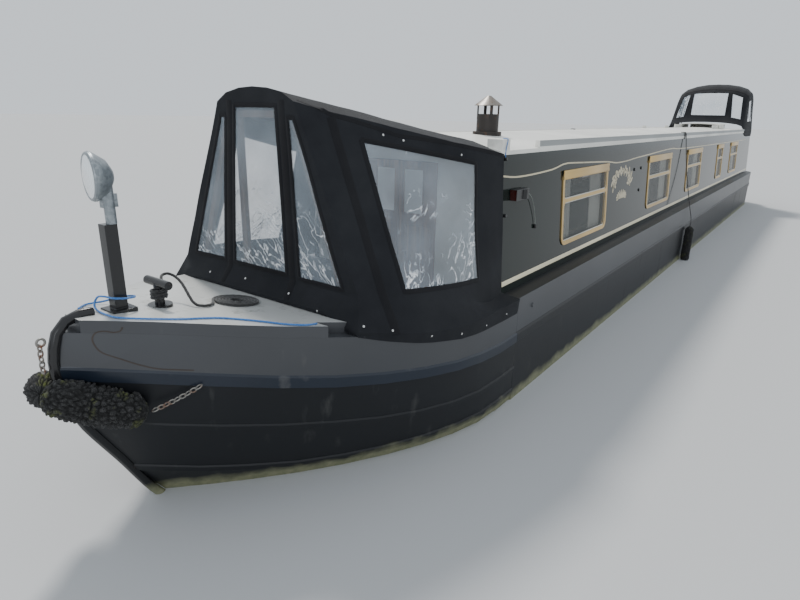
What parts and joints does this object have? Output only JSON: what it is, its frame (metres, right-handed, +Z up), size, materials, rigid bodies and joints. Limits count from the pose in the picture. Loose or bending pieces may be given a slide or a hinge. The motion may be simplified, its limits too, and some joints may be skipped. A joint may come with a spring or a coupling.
{
  "type": "narrowboat",
  "caption": "Steel canal narrowboat with a long cabin, canvas cratch cover over the bow well, folding stern hood, rope bow fender, sliding hatch, hinged doors, rudder and propeller.",
  "frame": {"origin": "middle of the flat underside of the base plate, halfway between the two ends of the boat", "axes": "+X towards the bow, +Y to port, +Z up"},
  "size_m": [17.0118, 2.3306, 3.335],
  "materials": {
    "bitumen": "black bitumen, scuffed",
    "deck_paint": "light grey deck paint",
    "gloss_paint": "very dark green gloss coach paint",
    "roof_paint": "cream satin",
    "window_frame": "gold anodised frame with clear glass",
    "curtain": "light cotton",
    "timber": "varnished",
    "cast_iron": "blacked, rusty",
    "lamp_plastic": "black",
    "canvas": "black acrylic canvas with clear panels",
    "tube_steel": "bare tube",
    "galvanised": "galvanised",
    "bronze": "cast",
    "brass": "polished",
    "engine_paint": "engine enamel",
    "rope": "weathered rope",
    "blue_rope": "thin blue line"
  },
  "bodies": {
    "boat": {"base_plate": "bitumen", "black_line": "rope", "blue_line": "blue_rope", "bow_fender": "rope", "bow_t_stud": "bitumen", "cabin_floor": "timber", "cabin_side_port": "gloss_paint", "cabin_side_starboard": "gloss_paint", "chimney": "cast_iron", "cratch_cover": "canvas", "cratch_frame": "timber", "curtains_port": "curtain", "curtains_starboard": "curtain", "deck_coil": "rope", "engine": "engine_paint", "engine_board": "timber", "fender_hook_port": "lamp_plastic", "fender_hook_starboard": "lamp_plastic", "fender_line_port": "rope", "fender_line_starboard": "rope", "foredeck": "deck_paint", "front_bulkhead": "timber", "headlamp": "galvanised", "headlamp_post": "bitumen", "hull_bow": "bitumen", "hull_side_port": "bitumen", "hull_side_starboard": "bitumen", "hull_stern": "bitumen", "nav_light_port": "lamp_plastic", "nav_light_starboard": "lamp_plastic", "pram_hood": "canvas", "pram_hoop_front": "tube_steel", "pram_hoop_rear": "tube_steel", "rear_bulkhead_port": "gloss_paint", "rear_bulkhead_starboard": "gloss_paint", "roof": "roof_paint", "side_fender_port": "rope", "side_fender_starboard": "rope", "skeg": "bitumen", "stem_bar": "bitumen", "stern_fender": "rope", "stud_turns": "rope", "window_1_port": "window_frame", "window_1_starboard": "window_frame", "window_2_port": "window_frame", "window_2_starboard": "window_frame", "window_3_port": "window_frame", "window_3_starboard": "window_frame", "window_4_port": "window_frame", "window_4_starboard": "window_frame", "window_5_port": "window_frame", "window_5_starboard": "window_frame"},
    "front_door_port": {"front_door_port": "timber"},
    "front_door_starboard": {"front_door_starboard": "timber"},
    "rear_door_port": {"rear_door_port": "gloss_paint"},
    "rear_door_starboard": {"rear_door_starboard": "gloss_paint"},
    "slide_hatch": {"slide_hatch": "roof_paint"},
    "steering": {"rudder": "bitumen", "tiller": "brass"},
    "propeller": {"propeller": "bronze"}
  },
  "joints": [
    {"name": "front_door_port_hinge", "type": "hinge", "parent": "boat", "child": "front_door_port", "pos_m": [5.8253, 0.3425, 1.4], "axis": [0, 0, 1], "range_deg": [0, 95]},
    {"name": "front_door_starboard_hinge", "type": "hinge", "parent": "boat", "child": "front_door_starboard", "pos_m": [5.8253, -0.3425, 1.4], "axis": [0, 0, -1], "range_deg": [0, 95]},
    {"name": "rear_door_port_hinge", "type": "hinge", "parent": "boat", "child": "rear_door_port", "pos_m": [-6.3563, 0.3425, 1.6], "axis": [0, 0, -1], "range_deg": [0, 95]},
    {"name": "rear_door_starboard_hinge", "type": "hinge", "parent": "boat", "child": "rear_door_starboard", "pos_m": [-6.3563, -0.3425, 1.6], "axis": [0, 0, 1], "range_deg": [0, 95]},
    {"name": "hatch_slide", "type": "slide", "parent": "boat", "child": "slide_hatch", "axis": [1, 0, 0], "range_m": [0, 0.65]},
    {"name": "steering_pivot", "type": "hinge", "parent": "boat", "child": "steering", "pos_m": [-7.99, 0, 0.7], "axis": [0, 0, 1], "range_deg": [-38, 38]},
    {"name": "propeller_spin", "type": "hinge", "parent": "boat", "child": "propeller", "pos_m": [-7.64, 0, 0.265], "axis": [1, 0, 0], "continuous": true}
  ]
}
